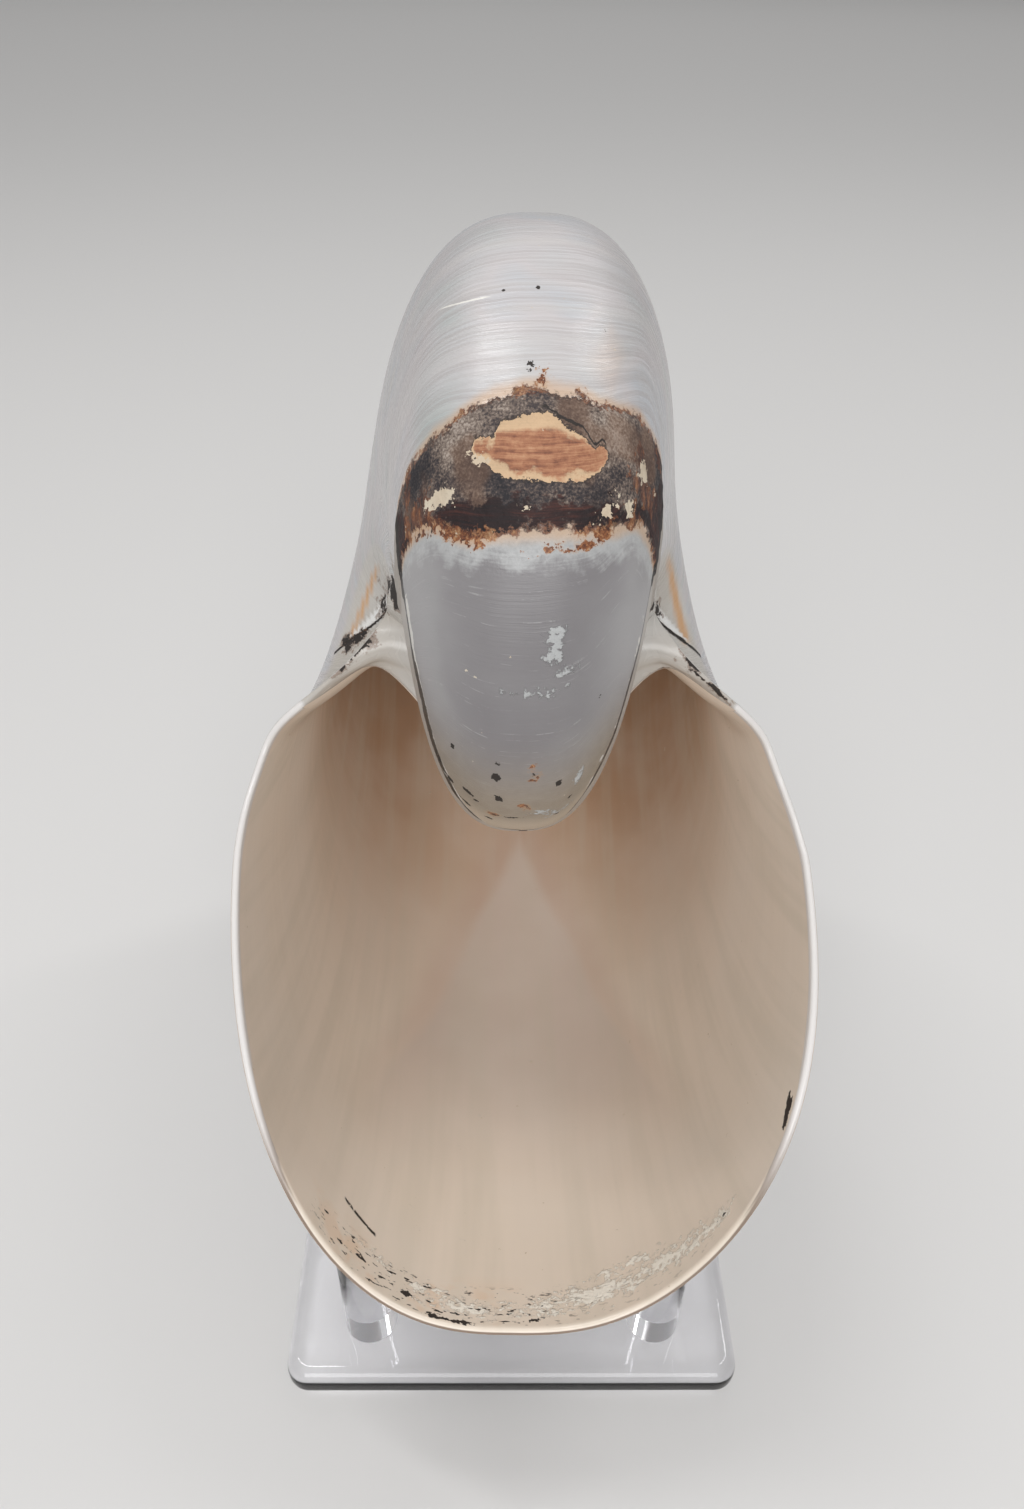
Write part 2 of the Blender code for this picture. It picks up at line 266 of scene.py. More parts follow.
class Nodes:
    """Makes the nodes of one material."""

    def __init__(self, name):
        self.material = bpy.data.materials.new(name)
        self.material.use_nodes = True
        self.tree = self.material.node_tree
        self.shader = self.tree.nodes["Principled BSDF"]

    def make(self, kind, settings=None, sockets=None, output=0):
        """One node: its settings come first, then the values or links of its sockets."""
        node = self.tree.nodes.new(kind)
        for key, value in (settings or {}).items():
            setattr(node, key, value)
        for key, value in (sockets or {}).items():
            self.put(node.inputs[key], value)
        return Value(self, node.outputs[output])

    def put(self, socket, value):
        """Links a socket to another, or gives it a number or a colour."""
        if isinstance(value, Value):
            self.tree.links.new(value.socket, socket)
        elif socket.type == "RGBA" and len(value) == 3:
            socket.default_value = (*value, 1.0)
        else:
            socket.default_value = value

    def set(self, **sockets):
        """Sets the Principled shader's sockets, named with underscores for spaces."""
        for key, value in sockets.items():
            self.put(self.shader.inputs[key.replace("_", " ")], value)

    def field(self, name):
        """A number kept on the mesh's points."""
        return self.make("ShaderNodeAttribute", {"attribute_name": name}, output="Fac")

    def place(self):
        """The point in the object's own coordinates."""
        return self.make("ShaderNodeTexCoord", output="Object")

    def vector(self, x, y, z=0.0):
        """A vector from its three parts."""
        return self.make("ShaderNodeCombineXYZ", None, {0: x, 1: y, 2: z})

    def noise(self, vector, scale, detail=3.0, roughness=0.5):
        """Smooth noise from 0 to 1."""
        return self.make("ShaderNodeTexNoise", None, {
            "Vector": vector, "Scale": scale, "Detail": detail, "Roughness": roughness})

    def step(self, value, low, high, bottom=0.0, top=1.0):
        """A smooth step from bottom to top as the value goes from low to high."""
        return self.make("ShaderNodeMapRange", {"interpolation_type": "SMOOTHSTEP"},
                         {0: value, 1: low, 2: high, 3: bottom, 4: top})

    def mix(self, share, first, second, way="MIX"):
        """A mix of two colours."""
        return self.make("ShaderNodeMix", {"data_type": "RGBA", "blend_type": way},
                         {0: share, 6: first, 7: second}, output=2)

    def layers(self, base, *coats):
        """Coats laid over a base in order, each a share and a colour."""
        for share, coat in coats:
            base = self.mix(share, base, coat)
        return base

    def ramp(self, value, *stops):
        """A colour ramp from stops, each a position and a colour."""
        ramp = self.make("ShaderNodeValToRGB", None, {0: value})
        elements = ramp.socket.node.color_ramp.elements
        while len(elements) < len(stops):
            elements.new(0.5)
        for element, (position, shade) in zip(elements, stops):
            element.position = position
            element.color = (*shade, 1.0)
        return ramp

    def bump(self, height, distance, strength):
        """A normal tilted by a height."""
        sockets = {"Height": height, "Distance": distance, "Strength": strength}
        return self.make("ShaderNodeBump", None, sockets)


# The shell's surface


def bell(across, shape):
    """A bell curve: height, the place across the whorl where it peaks, and its width."""
    height, centre, width = shape
    return height * np.exp(-0.5 * ((across - centre) / width) ** 2)


def rim_angle(lip, across):
    """How far round the spiral the margin lies: the sinus, plus a bell for the lobe and the notch, plus
    a falling S curve for the callus edge, plus a bell that one flank adds and the other takes away."""
    place = np.abs(across)
    drop, centre, width = lip.callus
    callus = drop / (1 + np.exp(-(place - centre) / width))
    uneven = np.sign(across) * bell(place, lip.uneven)
    return np.radians(lip.sinus + bell(place, lip.lobe) + bell(place, lip.notch) + callus + uneven)


def whorl(shape, angle, across):
    """Points of the outer surface about the coil axis, for an angle round the spiral and a place across.

    The keel's radius falls exponentially with the angle. From the keel (0) to the shoulder (1) the
    section is a superellipse quarter: width as a power of the sine, radius as a power of the cosine.
    From the shoulder to the axis (2) the radius falls evenly and the width eases to the callus as one
    minus an exponential of the cube. Above the axis the coil is skewed to the right."""
    angle, across = np.broadcast_arrays(angle, across)
    place = np.abs(across)
    radius = shape.lip_radius * np.exp(-math.log(shape.turn_ratio) / FULL_TURN * angle)
    turn = np.clip(place, 0, 1) * math.pi / 2
    venter_width = shape.half_width * radius * np.sin(turn) ** shape.venter_width_power
    venter_reach = radius * (shape.shoulder + (1 - shape.shoulder)
                             * np.abs(np.cos(turn)) ** shape.venter_height_power)
    inner = np.clip(2 - place, 0, 1)
    fullness = 1 - np.exp(-(inner / shape.callus_spread) ** 3)
    callus_width = shape.callus_half + (shape.half_width * radius - shape.callus_half) * fullness
    width = np.where(place <= 1, venter_width, callus_width) * np.sign(across)
    reach = np.where(place <= 1, venter_reach, radius * shape.shoulder * inner)
    heading = shape.lip_heading + angle
    height = reach * np.sin(heading)
    lifted = (height + np.hypot(height, shape.skew_blend)) / 2
    return np.stack([width + shape.skew * lifted, reach * np.cos(heading), height], -1)


def unit(vector):
    """A vector made one long."""
    return vector / np.linalg.norm(vector, axis=-1, keepdims=True)


def chamber_wall(shape, angle, across, depth):
    """The wall's inner side: the outer surface moved in along its normal, which is the cross product of
    its two tangents, by a thickness that eases from the lip's to the deep one."""
    along = whorl(shape, angle + NUDGE, across) - whorl(shape, angle - NUDGE, across)
    sideways = whorl(shape, angle, across + NUDGE) - whorl(shape, angle, across - NUDGE)
    normal = unit(np.cross(along, sideways))
    growth = 1 - np.exp(-depth / shape.wall_growth)
    thickness = shape.wall_at_rim + (shape.wall_deep - shape.wall_at_rim) * growth
    inwards = np.sign(np.sum(normal * whorl(shape, angle, across), -1, keepdims=True))
    return whorl(shape, angle, across) - normal * inwards * thickness[..., None]


def columns(horn_place):
    """Places across the whorl from -2 to 2: a power up to the horn's end, which spaces them about evenly
    over the surface, and even beyond it."""
    flank = even(FLANK_STEPS) ** FLANK_POWER * horn_place
    callus = np.linspace(horn_place, 2, CALLUS_STEPS + 1)[1:]
    half = np.concatenate([flank, callus])
    return np.concatenate([-half[:0:-1], half])


def rim_rows(outer, inner, forwards, bulge):
    """Rows from the lip's outer edge to its inner edge: a straight line plus a half-sine bow forwards."""
    share = even(RIM_STEPS)[:, None, None]
    bow = np.sin(share * math.pi) ** BOW_POWER * bulge
    return (1 - share) * outer + share * inner + bow * forwards


def even(steps):
    """Numbers from 0 to 1 in even steps."""
    return np.linspace(0, 1, steps + 1)


def horn_shares():
    """Shares of the way from the wall to the inner coil, closer together at both ends."""
    share = even(HORN_STEPS)
    return share - np.sin(share * FULL_TURN) * ARC_CROWDING / FULL_TURN


def horn_arcs(wall_end, wall_heading, tongue_end, tongue_heading, reach):
    """Cubic Bezier arcs from the wall to the inner coil, one for each row, with even handles."""
    handle = np.linalg.norm(tongue_end - wall_end, axis=-1, keepdims=True) * reach
    share = horn_shares()[None, :, None]
    first, last = wall_end[:, None], tongue_end[:, None]
    second = first + (wall_heading * handle)[:, None]
    third = last + (tongue_heading * handle)[:, None]
    return ((1 - share) ** 3 * first + 3 * (1 - share) ** 2 * share * second
            + 3 * (1 - share) * share ** 2 * third + share ** 3 * last)


def saddle(margin, flank, edge, fade):
    """The callus face, a Coons patch: straight lines from the margin to the flank, plus the bow of its
    first edge, which dies away as a power of the distance to the axis."""
    run = np.linalg.norm(np.diff(edge, axis=0), axis=-1)
    share = (np.concatenate([[0], np.cumsum(run)]) / run.sum())[:, None, None]
    straight = (1 - share) * margin[None] + share * flank[None]
    bend = edge[:, None] - straight[:, :1]
    return straight + bend * ((1 - np.linspace(0, 1, len(margin)))[None, :, None] ** fade)


def septum(shape, lip, wall_end, tongue_end, left_horn, right_horn):
    """The last septum, ruled from wall to inner coil, plus the horns' bows at its sides, which die away
    as a power, plus a bowl: a parabola both ways, sunk along the spiral."""
    share = horn_shares()[:, None, None]
    straight = (1 - share) * wall_end[None] + share * tongue_end[None]
    place = np.linspace(-1, 1, len(wall_end))
    left = np.clip(-place, 0, 1)[None, :, None] ** lip.septum_fade
    right = np.clip(place, 0, 1)[None, :, None] ** lip.septum_fade
    bend = (left * (left_horn[:, None] - straight[:, :1])
            + right * (right_horn[:, None] - straight[:, -1:]))
    heading = shape.lip_heading + shape.chamber_arc
    deeper = np.array([0.0, -math.sin(heading), math.cos(heading)])
    middle = len(wall_end) // 2
    size = np.linalg.norm(wall_end[middle] - tongue_end[middle])
    bowl = (1 - (2 * share - 1) ** 2) * (1 - place[None, :, None] ** 2)
    return straight + bend + bowl * size * lip.septum_depth * deeper


def run_length(points, axis):
    """Length in mm along a grid's rows or columns, from its first point."""
    steps = np.linalg.norm(np.diff(points, axis=axis), axis=-1)
    start = [(1, 0), (0, 0)] if axis == 0 else [(0, 0), (1, 0)]
    return 1000 * np.cumsum(np.pad(steps, start), axis=axis)


class Weave:
    """Grids of points that share their edges, gathered as one mesh with numbers on its points."""

    def __init__(self):
        self.grids = []
        self.stores = {key: [] for key in ("points", "region", "turn", "place", "across", "along")}
        self.count = 0

    def add(self, points, region, turn, place):
        """Adds a grid and returns its points' numbers, in which shared edges are then replaced."""
        shape = points.shape[:2]
        across = run_length(points, 1)
        if region in (OUTSIDE, WALL, TONGUE, RIM):
            across = across - across[:, shape[1] // 2:shape[1] // 2 + 1]
        values = (points, region, turn, place, across, run_length(points, 0))
        for store, value in zip(self.stores.values(), values):
            wanted = points.shape if value is points else shape
            store.append(np.broadcast_to(value, wanted).reshape(shape[0] * shape[1], -1))
        numbers = np.arange(shape[0] * shape[1]).reshape(shape) + self.count
        self.count += numbers.size
        self.grids.append(numbers)
        return numbers

    def gather(self):
        """Faces' corners, their number for each face, and a dictionary of numbers, without the points that
        shared edges left over. A quad with two corners in one place becomes a triangle."""
        quads = np.concatenate([
            np.stack([g[:-1, :-1], g[:-1, 1:], g[1:, 1:], g[1:, :-1]], -1).reshape(-1, 4)
            for g in self.grids])
        used, quads = np.unique(quads, return_inverse=True)
        kept = {key: np.concatenate(store)[used].astype(float) for key, store in self.stores.items()}
        quads = quads.reshape(-1, 4)
        distinct = quads != np.roll(quads, 1, axis=1)
        fields = {key: store if key == "points" else store[:, 0] for key, store in kept.items()}
        return quads[distinct], distinct.sum(1), fields


def coil_rows():
    """Angles of the outside's rows, close together over the stained front of the coil."""
    first, last = (math.radians(row) for row in DENSE_ROWS)
    return np.concatenate([np.linspace(0, first, COIL_STEPS + 1)[:-1],
                           np.linspace(first, last, STAIN_STEPS + 1)[:-1],
                           np.linspace(last, FULL_TURN, LAST_STEPS + 1)])


def weave_shell(shape, lip):
    """The whole shell as grids that share their edges."""
    weave = Weave()
    outer = columns(lip.horn_at_wall)
    inner = columns(lip.horn_at_tongue)
    middle = len(outer) // 2
    inside = slice(middle - FLANK_STEPS, middle + FLANK_STEPS + 1)
    margin = rim_angle(lip, outer)

    turn = coil_rows()[:, None]
    share = turn / FULL_TURN
    place = (1 - share) * outer + share * inner
    outside = whorl(shape, turn + margin, place)
    skin = weave.add(outside, OUTSIDE, np.degrees(turn), place)
    skin[:, 0] = skin[0, 0]
    skin[:, -1] = skin[0, -1]

    depth = even(CHAMBER_STEPS) ** CHAMBER_POWER * shape.chamber_arc
    angle = depth[:, None] + margin[inside]
    wall = chamber_wall(shape, angle, outer[inside], depth[:, None] + 0 * angle)
    tongue = whorl(shape, FULL_TURN + angle, inner[inside])
    wall_skin = weave.add(wall, WALL, np.degrees(depth)[:, None], outer[inside])
    tongue_skin = weave.add(tongue, TONGUE, 360 + np.degrees(depth)[:, None], inner[inside])
    tongue_skin[0] = skin[-1, inside]

    forwards = unit(outside[0, inside] - outside[1, inside])
    rim = rim_rows(outside[0, inside], wall[0], forwards, lip.lip_round)
    rim_skin = weave.add(rim, RIM, even(RIM_STEPS)[:, None], outer[inside])
    rim_skin[0] = skin[0, inside]
    rim_skin[-1] = wall_skin[0]

    arcs = []
    for side, edge in ((-1, 0), (1, -1)):
        along = angle[:, edge]
        nudge = side * NUDGE
        wall_next = chamber_wall(shape, along, outer[inside][edge] + nudge + 0 * depth, depth)
        tongue_next = whorl(shape, FULL_TURN + along, inner[inside][edge] + nudge)
        lift = np.array([side * lip.horn_lift, 0.0, 0.0])
        horn = horn_arcs(wall[:, edge], unit(wall_next - wall[:, edge]), tongue[:, edge],
                         unit(tongue_next - tongue[:, edge]) + lift, lip.horn_reach)
        horn_skin = weave.add(horn, HORN, np.degrees(depth)[:, None], side * horn_shares())
        horn_skin[:, 0] = wall_skin[:, edge]
        horn_skin[:, -1] = tongue_skin[:, edge]
        arcs.append((horn, horn_skin))

        callus = slice(middle + side * FLANK_STEPS, None, side)
        first = np.concatenate([rim[:-1, edge], horn[0]])
        face = saddle(outside[0, callus], outside[-1, callus], first, lip.saddle_fade)
        reach = np.linspace(0, 1, len(first))[:, None]
        face_skin = weave.add(face, SADDLE, reach, outer[callus])
        face_skin[0] = skin[0, callus]
        face_skin[-1] = skin[-1, callus]
        face_skin[:, 0] = np.concatenate([rim_skin[:-1, edge], horn_skin[0]])
        face_skin[:, -1] = skin[0, callus][-1]

    (left, left_skin), (right, right_skin) = arcs
    bowl = septum(shape, lip, wall[-1], tongue[-1], left[-1], right[-1])
    bowl_skin = weave.add(bowl, SEPTUM, 0.0, outer[inside])
    bowl_skin[0] = wall_skin[-1]
    bowl_skin[-1] = tongue_skin[-1]
    bowl_skin[:, 0] = left_skin[-1]
    bowl_skin[:, -1] = right_skin[-1]
    return weave


# Stains, worn places, painted shade and painted sheen, as numbers on the shell's points: 0.5 is a mark's edge


# Edges of the stained band and of the bare window in it: mm across from the keel, degrees of turn
BAND_TOP = (
    (-40, 273), (-33, 266), (-25, 262.2), (-17.5, 262.4), (-11.2, 260.2), (-6.9, 257), (-1, 255), (5, 256.4),
    (11.4, 260), (19.4, 264), (25, 261.5), (33, 266), (40, 273))
BAND_BOTTOM = (
    (-40, 276), (-33, 279), (-24, 274), (-14.8, 274.6), (-9, 276.4), (-5, 275.2), (1.8, 274.6), (7, 275.4),
    (12.4, 279), (19, 281), (26, 279), (33, 279), (40, 276))
WINDOW_TOP = (
    (-8.3, 266), (-7.5, 262), (-5.1, 262.3), (-4.5, 259.8), (0.9, 258.5), (2.7, 260.2), (5.5, 262),
    (7, 264.7), (8.2, 264), (10, 268))
WINDOW_BOTTOM = (
    (-8.3, 262), (-7.3, 265.2), (-5.7, 265.9), (-4.9, 267.4), (1.2, 268.5), (7.6, 268), (10, 265))
DARK_TOP = (
    (-34, 264), (-24, 265), (-21, 275), (-14.5, 274), (-12, 271.4), (0, 271), (10, 272.4), (13, 277),
    (20, 277), (25, 265), (34, 264))

# Side of the inner coil and half thickness of the black seam along it: degrees of turn, mm
TONGUE_SIDE = (
    (262, 27.5), (281, 26.6), (300, 23.6), (312, 20.4), (325, 17.4), (341, 11.4), (346, 7), (349, 0))
SEAM_THICKNESS = (
    (262, 0.5), (268, 1.3), (281, 1.1), (286, 0.35), (297, 0.6), (303, 1.2), (325, 1.3), (349, 1))
# Where the seam starts, and where it gets thin on the right, in degrees of turn
SEAM_TURN = 262
THIN_SEAM_TURN = 283

# Marks outside: degrees of turn, mm across, half length and half width in mm
CHIPS = (
    (271.6, -12.7, 1.4, 2.4), (274.3, 9.4, 1, 1.7), (271.8, 18.2, 1.3, 1.8), (272, -0.6, 0.4, 0.8),
    (265.2, -6.6, 0.5, 0.8), (276.4, 14.2, 0.9, 0.6))
CRUMBS = (
    (276.6, -9, 1.3, 2.6), (278, 5.8, 0.6, 3.2), (277.4, 10, 1.2, 2.4), (253.9, 0.8, 1.1, 0.8),
    (255.6, -2.4, 0.5, 3), (269, 15.8, 2.4, 1.3), (274.4, 18, 3, 4.4), (272.8, -17, 3, 4.6),
    (275.6, -12.4, 1.5, 2.6), (280, 17.4, 1.2, 2.6), (318.9, 1.3, 1.3, 1.2), (330.8, 0.8, 1, 1),
    (336.5, -4, 1, 1.4), (263.5, 22.5, 2.4, 1.4), (266.6, -21.5, 2.6, 1.6))
FLAKES = (
    (293.2, 3, 2.7, 1.2), (290.2, 3.3, 0.9, 0.8), (300.6, 1.2, 0.45, 2.8), (334, 2.4, 0.8, 1.4),
    (337, 6, 0.9, 1.8), (327, 8.4, 1.6, 0.8), (297.5, 4.2, 0.6, 1.2))
SPOTS = (
    (319, -10.6, 0.55, 0.4), (316.4, -3.6, 0.45, 0.35), (320.2, -3.8, 0.8, 0.6), (318.9, 1.2, 0.55, 0.7),
    (327.8, -3.2, 0.65, 0.6), (331.4, -8, 0.5, 1), (333, -6.6, 0.4, 0.5), (336.4, -1.2, 0.3, 1.7),
    (323.6, 4.8, 0.45, 0.4), (338, 5.2, 0.4, 0.5), (333, 7.2, 0.45, 0.4), (309, 11.2, 0.4, 0.3),
    (339.8, -4.6, 0.3, 0.8), (237.4, -4.4, 0.28, 0.26), (237.3, -0.1, 0.28, 0.26), (244.8, 8.6, 0.36, 0.3),
    (251.2, -0.9, 0.36, 0.34), (252.4, -1.2, 0.34, 0.3), (334, -11.6, 0.6, 0.7), (329.5, -14.4, 0.8, 0.6),
    (338.4, -9, 0.4, 1.2))

# Marks in the chamber, near the lip: degrees of depth, mm across, half length and half width in mm
LIP_SPECKS = (
    (0.5, -12, 0.45, 2.4), (0.35, -8.6, 0.4, 1.6), (2, -16.3, 0.8, 0.8), (2.4, -20.8, 0.5, 1),
    (2.6, -24, 0.4, 0.9), (3.2, -27.5, 0.4, 1.1), (1.7, -2, 0.3, 1.6), (0.9, 2.6, 0.25, 1.8),
    (1.4, 55.6, 1.2, 1.6), (0.9, 54, 0.7, 1.2), (3.6, -33, 0.4, 0.9), (2.9, 36, 0.3, 0.8))
LIP_FLAKES = (
    (3.4, 13, 1.8, 7.5), (3.6, 24, 1.5, 7), (3, 33, 1.2, 4), (2.2, 3, 0.9, 5.5), (2.2, -7, 1, 4.6),
    (3.4, -12.5, 0.9, 2.6), (4.2, -22, 0.5, 2.4), (5.6, 17, 0.7, 3))
# The two ends of one scratch: degrees of depth, mm across
SCRATCH = ((8.1, -30.1), (7.0, -23.0))
# Mm along the wall for one degree near the lip
LIP_DEGREE = 1.8

# Coil marks beside the callus: the four long ones are painted shade in the crevices where the whorls
# meet, the rest small dark blots; degrees of turn, place across the whorl, half sizes in the same units
CREVICE_SHADE_AND_BLOTS = (
    (308, -1.6, 17, 0.16), (167, -1.82, 15, 0.055), (152, 1.79, 12, 0.035), (329, 1.71, 9, 0.05),
    (99, -1.61, 5, 0.028), (106, -1.645, 5, 0.028), (113, -1.68, 4, 0.018), (92, -1.615, 4, 0.022))

# Stains on the callus face: share of the way down from the margin, place across, half sizes
CALLUS_STAINS = (
    (0.1, -1.765, 0.16, 0.035), (0.1, 1.742, 0.14, 0.022), (0.26, 1.706, 0.1, 0.022),
    (0.17, 1.668, 0.1, 0.014), (0.22, 1.648, 0.1, 0.012), (0.55, 1.6, 0.25, 0.01), (0.02, -1.925, 0.1, 0.014),
    (0.75, -1.94, 0.12, 0.01))

# Lighter and darker parts of the crust
PALE_CRUST = (
    (263.5, -11, 5, 3.6), (261, 8, 5, 5), (266, 15, 4, 3), (257.5, 0, 1.6, 5), (260.8, 6.6, 1.6, 2))
DARK_CRUST = (
    (270.5, -9, 2.6, 4.2), (268, -17, 6, 2.6), (270, 3, 1.2, 9), (257, 6, 1.4, 4), (265, 24, 8, 2.6),
    (261, -19, 4, 2))


def edge_level(across, turn, top, bottom, softness):
    """How far inside two edges a point lies, in units of 2.5 times the softness (mm), plus a half."""
    inside = np.minimum(turn - follow(across, top), follow(across, bottom) - turn)
    return np.clip(0.5 + inside / (2.5 * softness), -1, 2)


def spot_level(turn, across, marks, degree, softness=0.5):
    """The most that any elliptical mark covers a point: a half at its edge, one well inside."""
    level = np.full_like(turn, -1)
    for middle, side, long_half, wide_half in marks:
        away = np.hypot((turn - middle) * degree / long_half, (across - side) / wide_half)
        small = min(long_half, wide_half)
        level = np.maximum(level, 0.5 + (1 - away) * small / (2 * min(softness, small)))
    return np.clip(level, -1, 2)


def follow(value, table):
    """The table's second column at a value, straight between its rows."""
    return np.interp(value, *zip(*table))


def smooth(value, low, high):
    """A smooth step from 0 to 1 as the value goes from low to high."""
    share = np.clip((value - low) / (high - low), 0, 1)
    return share * share * (3 - 2 * share)


def paint(shape, fields):
    """Adds the numbers of the stains, worn places, painted shade and painted sheen to the fields of the
    shell's points.
    """
    region, turn, place, across, along = (
        fields[key] for key in ("region", "turn", "place", "across", "along"))
    outside, wall = region == OUTSIDE, region == WALL
    side, reach = np.abs(place), np.abs(across)
    front = outside & (turn > FRONT_TURN) & (side < FRONT_SIDE)
    degree = 1000 * shape.lip_radius * shape.turn_ratio ** (-turn / 360) * math.pi / 180

    def keep(name, where, value, other=0):
        """Keeps a field: the value on one part of the shell and another number elsewhere."""
        fields[name] = np.where(where, value, other)

    keep("front", front, 1.0)
    keep("crust", front, edge_level(across, turn, BAND_TOP, BAND_BOTTOM, 1.0), -1)
    keep("bare", front, edge_level(across, turn, WINDOW_TOP, WINDOW_BOTTOM, 0.7), -1)
    keep("dark", front, edge_level(across, turn, DARK_TOP, BAND_BOTTOM, 1.2), -1)
    keep("chip", front, spot_level(turn, across, CHIPS, degree), -1)
    keep("crumb", front, spot_level(turn, across, CRUMBS, degree, 0.8), -1)
    shade = spot_level(turn, across, PALE_CRUST, degree, 2) - spot_level(turn, across, DARK_CRUST, degree, 2)
    keep("shade", front, np.clip(shade, -1.5, 1.5))
    flakes = np.where(wall, spot_level(turn, across, LIP_FLAKES, LIP_DEGREE, 0.9) + 0.25, -1)
    keep("flake", front, spot_level(turn, across, FLAKES, degree), flakes)

    bottom = follow(across, BAND_BOTTOM)
    keep("chalk", front, smooth(turn, bottom - 1, bottom) * (1 - smooth(turn, bottom + 1, bottom + 10)))
    keep("tongue", outside, smooth(turn, bottom - 0.5, bottom + 1.5) * (side < FRONT_SIDE))
    keep("tip", front, smooth(turn, 308, 334))

    beside = front & (turn > SEAM_TURN)
    hem = reach - follow(turn, TONGUE_SIDE) - 1.2 * (across > 0)
    keep("hem", beside, hem, -9)
    thick = follow(turn, SEAM_THICKNESS) * np.where((across > 0) & (turn > THIN_SEAM_TURN), 0.5, 1)
    centre = thick * np.interp(turn, (281, 287), (0.6, -0.8))
    keep("seam", beside, (hem - centre) / thick, -9)
    fringe = smooth(hem, -3.6, -1.6) * (1 - smooth(hem, -0.8, -0.3)) * np.where(across > 0, 0.5, 1)
    keep("fringe", front & (turn > THIN_SEAM_TURN), fringe)

    spots = np.where(front, spot_level(turn, across, SPOTS, degree, 0.3), -1)
    keep("spot", wall, spot_level(turn, across, LIP_SPECKS, LIP_DEGREE, 0.4), spots)
    # Blots beside the callus, partly painted shade in the crevices where the whorls meet, and stains on the
    # callus face
    crevice_blots_and_shade = np.where(outside, spot_level(turn, place, CREVICE_SHADE_AND_BLOTS, 1.0, 5), -1)
    keep("stain_and_crevice_shade", region == SADDLE, spot_level(turn, place, CALLUS_STAINS, 1.0, 5), crevice_blots_and_shade)
    keep("lid", front, follow(across, WINDOW_TOP) - turn, 9)
    (start, left), (end, right) = SCRATCH
    scratch = turn - start - (across - left) * (end - start) / (right - left)
    keep("scratch", wall & (across > left - 2) & (across < right + 2), scratch, 9)
    keep("flaky", wall, smooth(turn, 0.1, 0.6) * (1 - smooth(turn, 3, 7)) * (1 - smooth(reach, 26, 44)))

    # The callus's ridge and its foot, along which the groove's black is painted shade
    ridge_foot = 96 + 205 * (side - 1.59)
    ridge_top = 103 + 330 * (side - 1.60)
    back = outside & (side > 1.52) & (turn < FRONT_TURN)
    keep("line", back, turn - ridge_foot, 99)
    keep("ridge", back, smooth(turn, ridge_foot - 1, ridge_foot + 2)
         * (1 - smooth(turn, ridge_top - 5, ridge_top + 1)))
    keep("callus", region == SADDLE, 1, np.where(outside, smooth(side, 1.45, 1.62), 0))
    middle = np.where(place < 0, 1.607 + 0.00062 * (turn - 95), 1.607)
    streak = np.exp(-((side - middle) / np.where(place < 0, 0.018, 0.030)) ** 4)
    streak = streak * smooth(turn, 95, 108) * (1 - smooth(turn, 178, 222)) * (side > 1.5)
    lip = smooth(-along, -1.6, -0.2) * (1 - smooth(side, 0.85, 1.15))
    keep("rust", outside, np.maximum(streak, lip))
    keep("rim", wall | (region == RIM), 1, np.where(outside, smooth(-along, -2.5, -0.6), 0))
    edge = 0.9 * smooth(side, 0.5, 0.8)
    fields["inner"] = (np.isin(region, (TONGUE, HORN, SEPTUM)) + wall * smooth(along, edge * 0.6 - 0.1, edge)
                       + (region == RIM) * smooth(turn, 0.35, 0.6) * (1 - smooth(side, 0.4, 0.62)))
    # Painted shade: the chamber's wall gets darker further in from the lip, where the coil keeps the light
    # out
    keep("deep", np.isin(region, (WALL, HORN)), turn / 135, region != RIM)
    # A painted sheen: a wedge down the middle of the chamber's wall, widening towards the lip
    keep("sheen_wedge", wall, (69 - turn) * 0.72 - np.abs(across - 2), -9)
    fields["low"] = 1 - smooth(side, 0.46, 0.68)


def lattice(points, size):
    """Smooth noise between -1 and 1: random numbers at the corners of cubes of a size, eased between."""
    scaled = points / size
    cell = np.floor(scaled)
    share = scaled - cell
    share = share * share * (3 - 2 * share)
    total = 0
    for corner in np.ndindex(2, 2, 2):
        code = (cell + corner) @ np.array([127.1, 311.7, 74.7])
        value = np.abs(np.sin(code) * 43758.5453) % 1 * 2 - 1
        weight = np.prod(np.where(np.array(corner), share, 1 - share), axis=-1)
        total = total + value * weight
    return total


def relief(fields, points):
    """How far each point moves out, in metres: the crust stands up in lumps, chips sink, and flakes and
    the callus's ridge stand up a little."""
    crust = smooth(fields["crust"], 0.35, 0.8) * (1 - smooth(fields["bare"], 0.4, 0.6))
    coarse, fine = LUMP_SIZES
    lumps = lattice(points, coarse) + 0.6 * lattice(points, fine)
    return (crust * (CRUST_HEIGHT + LUMP_HEIGHT * lumps) + fields["ridge"] * RIDGE_HEIGHT
            - smooth(fields["chip"], 0.4, 0.7) * CHIP_DEPTH
            + smooth(fields["flake"], 0.4, 0.7) * FLAKE_HEIGHT)


def mesh_object(name, points, corners, sizes, fields=None):
    """A smooth mesh object from arrays: the points, the corners of all faces in one run, the number of
    corners of each face, and a number for each point in each named field."""
    mesh = bpy.data.meshes.new(name)
    mesh.vertices.add(len(points))
    mesh.vertices.foreach_set("co", points.astype(np.float32).ravel())
    mesh.loops.add(len(corners))
    mesh.loops.foreach_set("vertex_index", corners.astype(np.int32))
    mesh.polygons.add(len(sizes))
    mesh.polygons.foreach_set("loop_start", (np.cumsum(sizes) - sizes).astype(np.int32))
    mesh.update(calc_edges=True)
    for key, values in (fields or {}).items():
        mesh.attributes.new(key, "FLOAT", "POINT").data.foreach_set("value", values.astype(np.float32))
    shaped = bmesh.new()
    shaped.from_mesh(mesh)
    bmesh.ops.recalc_face_normals(shaped, faces=shaped.faces)
    shaped.to_mesh(mesh)
    shaped.free()
    mesh.shade_smooth()
    thing = bpy.data.objects.new(name, mesh)
    bpy.context.scene.collection.objects.link(thing)
    return thing


# The pearl material


